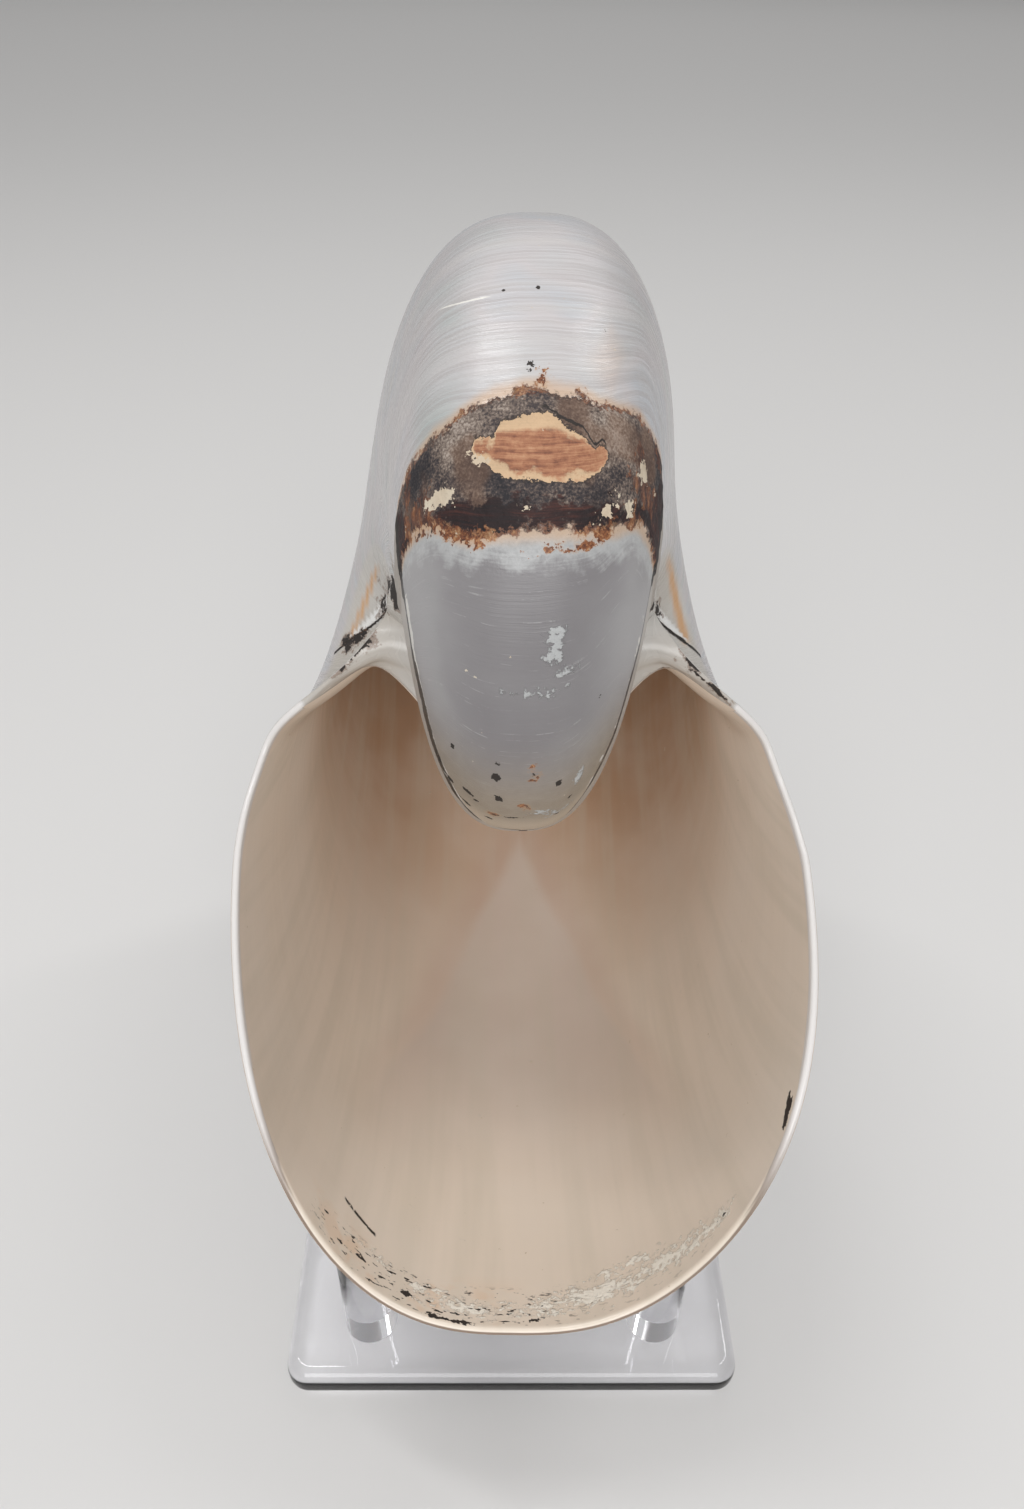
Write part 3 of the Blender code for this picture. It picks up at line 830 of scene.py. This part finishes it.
def pearl(colours):
    """Silver pearl with growth lines, under cream, stains, crust and worn places, with painted shade and
    sheen in the chamber, painted shade in the callus's groove and crevices, and a painted highlight on the
    window.

    Each mark's field is pushed to and fro by fine noise before a narrow step, so its edge is ragged."""
    nodes = Nodes("pearl")
    field, noise, step, mix, ramp = nodes.field, nodes.noise, nodes.step, nodes.mix, nodes.ramp
    place, turn, across = nodes.place(), field("turn"), field("across")
    inner, flaky, black = field("inner"), field("flaky"), colours.black
    coarse = noise(place, 380, 4, 0.62)
    fine = noise(place, 1300, 3, 0.65)
    grit = noise(place, 3000, 2, 0.6)
    soft = noise(place, 45)
    patchy = noise(place, 140, 3, 0.6)
    ragged = (coarse - 0.5) * 2.4 + (fine - 0.5) * 1.5

    def mask(name, shift=0.0, width=0.05, raggedness=1.0):
        """The inside of a mark with a ragged edge."""
        return step(field(name) + ragged * raggedness + shift, 0.5 - width, 0.5 + width)

    def strokes(for_across, for_turn, detail, roughness=0.5, turned=turn):
        """Noise that changes at one rate with mm across and at another with degrees of turn."""
        return noise(nodes.vector(across * for_across, turned * for_turn), 1.0, detail, roughness)

    wavy_turn = turn + noise(place, 32, 2) * 1.2 + strokes(0.16, 0.05, 1)
    lines = strokes(0.035, 1.7, 4, 0.7, wavy_turn)
    bands = strokes(0.012, 0.22, 2, 0.55, wavy_turn)
    grain = strokes(0.12, 1.4, 3, 0.75, wavy_turn)
    fibres = strokes(0.75, 0.12, 3, 0.65)
    broken = noise(nodes.vector(turn * 0.22, 3.7), 1.0, 2, 0.7)

    # The silver outside, with one curved nick
    tint = ramp(strokes(0.05, 0.045, 2), (0.3, (0.81, 0.9, 0.88)), (0.43, (0.93, 0.95, 0.96)),
                (0.52, (0.98, 0.96, 0.97)), (0.62, (0.86, 0.92, 0.97)), (0.72, (0.94, 0.93, 0.9)))
    peach = step(abs(turn - 250.0) / 7 + abs(across - 9.6) / 3.5 + (soft - 0.5) * 2, 1.3, 0.2)
    nick = abs(turn - 238.3 + (across + 5.8) * (across + 5.8) * 0.037 + (fine - 0.5) * 0.3)
    nick = step(nick, 0.26, 0.1) * step(abs(across + 10.0), 4.5, 2.8) * field("front")
    silver = nodes.layers(
        mix(1.0, colours.silver, tint, "MULTIPLY"),
        (peach * 0.4, (0.66, 0.49, 0.38)),
        (step(lines, 0.4, 0.62, 0.0, 0.55), (0.42, 0.385, 0.375)),
        (nick, (0.88, 0.86, 0.8)),
        (step(bands, 0.42, 0.7, 0.0, 0.3), (0.64, 0.61, 0.58)))
    cream = mix(step(soft, 0.35, 0.7), colours.cream, (0.6, 0.58, 0.55))
    rust = field("rust") * step(coarse * 0.5 + soft * 0.5, 0.25, 0.5)

    # The sandy inside of the chamber, with painted shade deeper in and a painted sheen down its middle
    # Painted sheen: a lighter wedge with a pinkish border, faded out near the lip
    sheen_wedge = field("sheen_wedge") + (soft - 0.5) * 5
    fade = step(turn, 14, 42) * inner
    sand = nodes.layers(
        # Painted shade: the sand turns dark brown deeper in the chamber
        mix(step(field("deep"), 0.22, 0.62), colours.sand, (0.5, 0.325, 0.21)),
        # Painted sheen: the pinkish border, then the lighter wedge
        (step(sheen_wedge, -9, -1) * fade * 0.35, (0.55, 0.38, 0.31)),
        (step(sheen_wedge, -1.2, 2.4) * fade * 0.75, (0.66, 0.565, 0.49)),
        (step(strokes(0.14, 0.018, 3, 0.6), 0.4, 0.68, 0, 0.3), (0.62, 0.56, 0.45)),
        (step(strokes(0.03, 0.05, 3), 0.35, 0.7, 0, 0.25), (0.84, 0.77, 0.69)),
        (flaky * step(patchy, 0.5, 0.62) * step(across, 5, -5) * 0.5, (0.8, 0.56, 0.38)))

    # The satin inner coil, its worn tip, and the pale chalk and flakes on it
    satin = mix(step(soft, 0.35, 0.7), (0.262, 0.248, 0.258), (0.37, 0.36, 0.365))
    worn = mix(coarse, (0.24, 0.195, 0.15), (0.38, 0.33, 0.27))
    satin = nodes.layers(
        mix(step(abs(across), 4, 18), mix(0.55, satin, (0.16, 0.15, 0.155)), satin),
        (step(lines, 0.57, 0.66) * step(coarse, 0.48, 0.6) * 0.45, (0.5, 0.49, 0.49)),
        (field("tip"), mix(step(turn + (soft - 0.5) * 8, 334, 344), worn, (0.5, 0.42, 0.33))))
    chalk = field("chalk") + (coarse - 0.5) * 1.6 + (lines - 0.5) * 0.7
    flake = step(field("flake") + (fine - 0.5) * 4.0 + (coarse - 0.5) * 3.0, 0.55, 0.95)

    # The stained crust: an amber fringe, bark, a dark red foot, and bare wood-like ground in the window,
    # with a painted highlight along the window's top
    crust_level = field("crust") + ragged
    crust = step(crust_level, 0.5, 0.62)
    along = step(abs(across), 12, 15)
    rusty = (coarse * 0.7 + grit * 0.3) * (1.0 - along * 0.7) + fibres * along * 0.7
    amber = ramp(rusty, (0.43, (0.03, 0.01, 0.008)), (0.51, (0.12, 0.036, 0.016)),
                 (0.57, (0.28, 0.1, 0.035)), (0.64, (0.48, 0.27, 0.13)), (0.69, (0.6, 0.55, 0.48)))
    bark = ramp(patchy * 0.45 + coarse * 0.15 + grit * 0.4 + field("shade") * 0.0364,
                (0.4, (0.012, 0.01, 0.014)), (0.47, (0.05, 0.038, 0.038)),
                (0.52, (0.12, 0.088, 0.074)), (0.58, (0.225, 0.175, 0.142)), (0.65, (0.42, 0.35, 0.3)))
    brown = mix(patchy, (0.05, 0.02, 0.014), (0.3, 0.17, 0.1))
    bark = mix(step(noise(place, 110, 2), 0.5, 0.6, 0, 0.5), bark, brown)
    maroon = ramp(grain * 0.6 + patchy * 0.4, (0.4, (0.007, 0.002, 0.003)), (0.51, (0.018, 0.004, 0.004)),
                  (0.6, (0.062, 0.016, 0.011)), (0.7, (0.16, 0.06, 0.032)))
    window = field("bare") + ragged * 0.7
    wood = ramp(grain * 0.45 + patchy * 0.35 + fine * 0.2, (0.38, (0.17, 0.06, 0.035)),
                (0.47, (0.37, 0.155, 0.08)), (0.55, (0.5, 0.25, 0.135)), (0.66, (0.62, 0.42, 0.29)))
    # A painted highlight: a pale band along the window's top; the window is also paler near its edges
    top = step(turn + coarse * 2.5, 262.9, 261.9)
    pale_edge_and_highlight = step(window + (patchy - 0.5) * 4, 1.0, 0.5).most(top)
    wood = mix(pale_edge_and_highlight * 0.75, wood, (0.72, 0.53, 0.33))

    # Thin marks: the inner coil's seam, the callus's groove with painted shade in it, spots, dashes, a crack
    # and a scratch
    hem = field("hem") + (coarse - 0.5) * 0.9
    fringe = step(field("fringe") * 0.6 + coarse * 0.7 + (broken - 0.5) * 0.6, 0.72, 0.8)
    gaps = step(turn, 283, 288, 1.0, step(broken, 0.32, 0.42))
    seam = step(abs(field("seam") + ragged * 0.6), 1.1, 0.8) * gaps
    groove_shade = step(abs(field("line") + (coarse - 0.5) * 3.0), 2.4, 1.0)
    dashes = noise(nodes.vector(across * 0.5, turn * 2.0, 5.0), 1.0, 2, 0.7)
    dashes = step(dashes, 0.6, 0.64) * step(flaky, 0.3, 0.8) * step(across, 14, 0, 0.25)
    crack = step(abs(field("lid") + ragged * 0.6 - 1.0), 0.3, 0.14)
    crack = crack * step(abs(across - 4.6), 4.4, 3.9)
    scratch = step(abs(field("scratch") + (coarse - 0.5) * 0.5), 0.3, 0.1)
    scratch = scratch * step(abs(across + 26.5), 3.8, 3.3) * step(fine, 0.4, 0.46)
    # Black: the spots, with the blots, which are partly painted shade in the crevices beside the callus
    spot = mask("spot", raggedness=1.3).most(mask("stain_and_crevice_shade", raggedness=0.9))
    spot = spot.most(dashes).most(crack).most(scratch)

    colour = nodes.layers(
        silver,
        (step(field("callus") + (soft - 0.5) * 0.4, 0.3, 0.8), cream),
        (step(field("rim"), 0.2, 0.9), mix(field("low"), colours.lip, colours.lip_edge)),
        (rust * 0.9, colours.rust),
        (field("ridge"), (0.84, 0.83, 0.81)),
        (step(inner, 0.4, 0.9), sand),
        (field("tongue"), satin),
        (step(chalk, 0.3, 0.9, 0, 0.9), mix(fine, (0.36, 0.37, 0.37), (0.58, 0.58, 0.58))),
        (flake * 0.9, mix(inner, (0.5, 0.51, 0.51), (0.96, 0.91, 0.81))),
        (step(field("crust") + coarse * 0.6, -0.4, 0.5, 0, 0.6), (0.62, 0.38, 0.2)),
        (step(crust_level, 0.05, 0.36, 0, 0.9), amber),
        (step(field("crumb") + ragged * 1.5, 0.3, 0.8, 0, 0.35), (0.5, 0.25, 0.09)),
        (mask("crumb", -0.45, 0.15, 2.6), amber),
        (crust, bark),
        (mask("dark", width=0.2) * crust, maroon),
        (mask("crumb", -0.25, 0.2, 2.2) * crust * 0.75, amber),
        (step(window, 0.22, 0.42, 0, 0.85), (0.035, 0.024, 0.02)),
        (step(window, 0.46, 0.54), wood),
        (mask("chip", raggedness=2.2), mix(patchy, (0.52, 0.36, 0.22), (0.78, 0.74, 0.62))),
        (step(hem, 0.1, 0.3, 0, 0.9), (0.46, 0.42, 0.38)),
        (fringe, (0.7, 0.68, 0.64)),
        (seam, black),
        # Painted shade in the groove under the callus's edge
        (groove_shade, black),
        # A brown halo round the blots, partly painted shade round the crevices
        (step(field("stain_and_crevice_shade") + ragged * 1.4, 0.1, 0.5, 0, 0.6), (0.17, 0.085, 0.045)),
        (spot, black))

    matt = step(crust_level, 0.3, 0.5).most(field("chalk") * 0.8).most(flake)
    rough = step(lines * (1.0 - inner), 0.3, 0.8, 0.22, 0.34)
    rough = rough.most(matt.most(spot) * 0.75).most(field("tongue") * 0.42)
    nodes.set(Base_Color=colour, Roughness=rough, Specular_IOR_Level=0.6)
    height = lines * (0.3 - inner * 0.27) + bands * 0.3
    lumps = (coarse * 0.6 + fine * 0.4) * matt + height * 0.4 * (1.0 - matt) + flake * 0.3 - groove_shade
    nodes.set(Normal=nodes.bump(lumps, 0.0009, 0.6))
    return nodes.material


# Operators


class NAUTILUS_OT_shell(bpy.types.Operator):
    """Builds the shell"""

    bl_idname = "nautilus.shell"
    bl_label = "Shell"

    def execute(self, context):
        shape = context.scene.nautilus_shape
        weave = weave_shell(shape, context.scene.nautilus_lip)
        corners, sizes, fields = weave.gather()
        points = fields.pop("points") + np.array(shape.axis_centre)
        paint(shape, fields)
        shell = mesh_object("pearly_shell", points, corners, sizes, fields)
        normals = np.empty(len(points) * 3, np.float32)
        shell.data.vertices.foreach_get("normal", normals)
        raised = points + normals.reshape(-1, 3) * relief(fields, points)[:, None]
        shell.data.vertices.foreach_set("co", raised.astype(np.float32).ravel())
        shell.data.update()
        shell.data.materials.append(pearl(context.scene.nautilus_colours))
        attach(shell, "root")
        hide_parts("shell")
        return {"FINISHED"}


def acrylic(name):
    """Clear acrylic."""
    nodes = Nodes(name)
    nodes.set(Base_Color=(0.80, 0.80, 0.82), Roughness=0.02, IOR=1.49, Transmission_Weight=1.0)
    return nodes.material


def lathe(profile, centre, sides):
    """Points of a turned shape: the profile's radius and height carried round a circle."""
    turn = np.arange(sides) * FULL_TURN / sides
    radius, height = profile[:, :1], profile[:, 1:]
    ring = np.stack([radius * np.cos(turn), radius * np.sin(turn), height + 0 * turn], -1)
    return ring + np.asarray(centre)


def closed_rings(name, rings):
    """A closed mesh from rings of equal length, each end filled with one face."""
    rows, sides = rings.shape[:2]
    numbers = np.arange(rows * sides).reshape(rows, sides)
    around = np.roll(numbers, -1, axis=1)
    quads = np.stack([numbers[:-1], around[:-1], around[1:], numbers[1:]], -1)
    corners = np.concatenate([quads.ravel(), numbers[0], numbers[-1]])
    sizes = np.append(np.full((rows - 1) * sides, 4), [sides, sides])
    thing = mesh_object(name, rings.reshape(-1, 3), corners, sizes)
    thing.data.set_sharp_from_angle(angle=math.radians(SHARP_ANGLE))
    return thing


class NAUTILUS_OT_plate(bpy.types.Operator):
    """Builds the stand's clear plate"""

    bl_idname = "nautilus.plate"
    bl_label = "Plate"

    def execute(self, context):
        stand = context.scene.nautilus_stand
        turn = np.linspace(0, math.pi / 2, PLATE_EDGE_STEPS + 1)
        inset = stand.edge * (1 - np.sin(turn))
        height = stand.edge * (1 - np.cos(turn))
        inset = np.concatenate([inset, inset[::-1]])
        height = np.concatenate([height, stand.thickness - height[::-1]])
        quarter = np.repeat(np.arange(4), PLATE_CORNER_STEPS + 1)
        step = np.tile(even(PLATE_CORNER_STEPS), 4)
        bend = math.pi / 2 * (quarter + step)
        centre_x = np.array([1, -1, -1, 1])[quarter] * (stand.width / 2 - stand.corner)
        centre_y = np.array([1, 1, -1, -1])[quarter] * (stand.depth / 2 - stand.corner)
        radius = (stand.corner - inset)[:, None]
        rings = np.stack([centre_x + radius * np.cos(bend), centre_y + radius * np.sin(bend),
                          height[:, None] + 0 * bend], -1)
        plate = closed_rings("clear_plate", rings)
        plate.data.materials.append(acrylic("clear plate"))
        plate.visible_shadow = False
        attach(plate, "root")
        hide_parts("stand_plate")
        return {"FINISHED"}


class NAUTILUS_OT_pegs(bpy.types.Operator):
    """Builds the four clear pegs"""

    bl_idname = "nautilus.pegs"
    bl_label = "Pegs"

    def execute(self, context):
        stand = context.scene.nautilus_stand
        turn = np.linspace(0, math.pi / 2, DOME_STEPS + 1)[:-1]
        for node in ("peg_front_left", "peg_front_right", "peg_back_left", "peg_back_right"):
            low, high = (np.array(corner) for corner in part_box(node))
            middle = (low + high) / 2
            radius = (high[0] - low[0]) / 2
            tall = high[2] - low[2]
            dome = np.stack([radius * np.cos(turn), tall - stand.peg_dome * (1 - np.sin(turn))], -1)
            profile = np.concatenate([[[radius, 0.0]], dome, [[radius * PEG_FLAT, tall]]])
            rings = lathe(profile, (middle[0], middle[1], low[2]), PEG_SIDES)
            peg = closed_rings("clear_" + node, rings)
            peg.data.materials.append(acrylic("clear " + node.replace("_", " ")))
            peg.visible_shadow = False
            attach(peg, "root")
            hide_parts(node)
        return {"FINISHED"}


def aim(eye, pitch, yaw, roll):
    """The camera's matrix from its place and three angles: down, to the right and clockwise."""
    ahead = np.array([math.sin(yaw) * math.cos(pitch), math.cos(yaw) * math.cos(pitch), -math.sin(pitch)])
    level = np.array([math.cos(yaw), -math.sin(yaw), 0.0])
    upright = np.cross(level, ahead)
    right = math.cos(roll) * level + math.sin(roll) * upright
    up = -math.sin(roll) * level + math.cos(roll) * upright
    turned = np.stack([right, up, -ahead, np.array(eye)], -1)
    return Matrix(np.vstack([turned, [0, 0, 0, 1]]).tolist())


def area_light(name, place, target, size, power):
    """A rectangular light at a place, turned towards a target."""
    light = bpy.data.lights.new(name, "AREA")
    light.shape = "RECTANGLE"
    light.size, light.size_y = size
    light.energy = power
    lamp = bpy.data.objects.new(name, light)
    bpy.context.scene.collection.objects.link(lamp)
    lamp.location = place
    lamp.rotation_euler = (Vector(target) - Vector(place)).to_track_quat("-Z", "Y").to_euler()


class NAUTILUS_OT_stage(bpy.types.Operator):
    """Builds the floor, the lights and the camera"""

    bl_idname = "nautilus.stage"
    bl_label = "Stage"

    def execute(self, context):
        scene = context.scene
        look = scene.nautilus_studio
        radius = look.floor_radius
        profile = np.array([[radius, FLOOR_BOTTOM], [radius, FLOOR_TOP], [radius * FLOOR_FLAT, FLOOR_TOP]])
        floor = closed_rings("floor", lathe(profile, (0, 0, 0), FLOOR_SIDES))
        nodes = Nodes("floor")
        nodes.set(Base_Color=tuple(look.floor), Roughness=0.6)
        floor.data.materials.append(nodes.material)

        camera = bpy.data.cameras.new("camera")
        camera.sensor_width = SENSOR_MM
        camera.lens = SENSOR_MM * look.focal_length
        camera.clip_start = NEAREST_VIEW
        eye = bpy.data.objects.new("camera", camera)
        scene.collection.objects.link(eye)
        eye.matrix_world = aim(tuple(look.camera), look.pitch, look.yaw, look.roll)
        scene.camera = eye

        for name, light in LIGHTS.items():
            area_light(name, *light)
        world = bpy.data.worlds.new("world")
        world.use_nodes = True
        world.node_tree.nodes["Background"].inputs["Color"].default_value = (*look.surroundings, 1)
        scene.world = world
        scene.view_settings.view_transform = "Standard"
        return {"FINISHED"}


class NAUTILUS_PT_panel(bpy.types.Panel):
    """Lists the operators"""

    bl_label = "Nautilus"
    bl_idname = "NAUTILUS_PT_panel"
    bl_space_type = "VIEW_3D"
    bl_region_type = "UI"
    bl_category = "Nautilus"

    def draw(self, context):
        for operator in OPERATORS:
            self.layout.operator(operator.bl_idname)


OPERATORS = (NAUTILUS_OT_shell, NAUTILUS_OT_plate, NAUTILUS_OT_pegs, NAUTILUS_OT_stage)
SETTINGS = {
    "nautilus_shape": ShellShape,
    "nautilus_lip": LipShape,
    "nautilus_stand": StandShape,
    "nautilus_colours": PearlColours,
    "nautilus_studio": StudioLook,
}


def register():
    for kind in (*SETTINGS.values(), *OPERATORS, NAUTILUS_PT_panel):
        bpy.utils.register_class(kind)
    for name, kind in SETTINGS.items():
        setattr(bpy.types.Scene, name, PointerProperty(type=kind))


def unregister():
    for name in SETTINGS:
        delattr(bpy.types.Scene, name)
    for kind in (NAUTILUS_PT_panel, *reversed(OPERATORS), *reversed(SETTINGS.values())):
        bpy.utils.unregister_class(kind)


def main():
    register()
    bpy.ops.nautilus.shell()
    bpy.ops.nautilus.plate()
    bpy.ops.nautilus.pegs()
    bpy.ops.nautilus.stage()


if __name__ == "__main__":
    main()
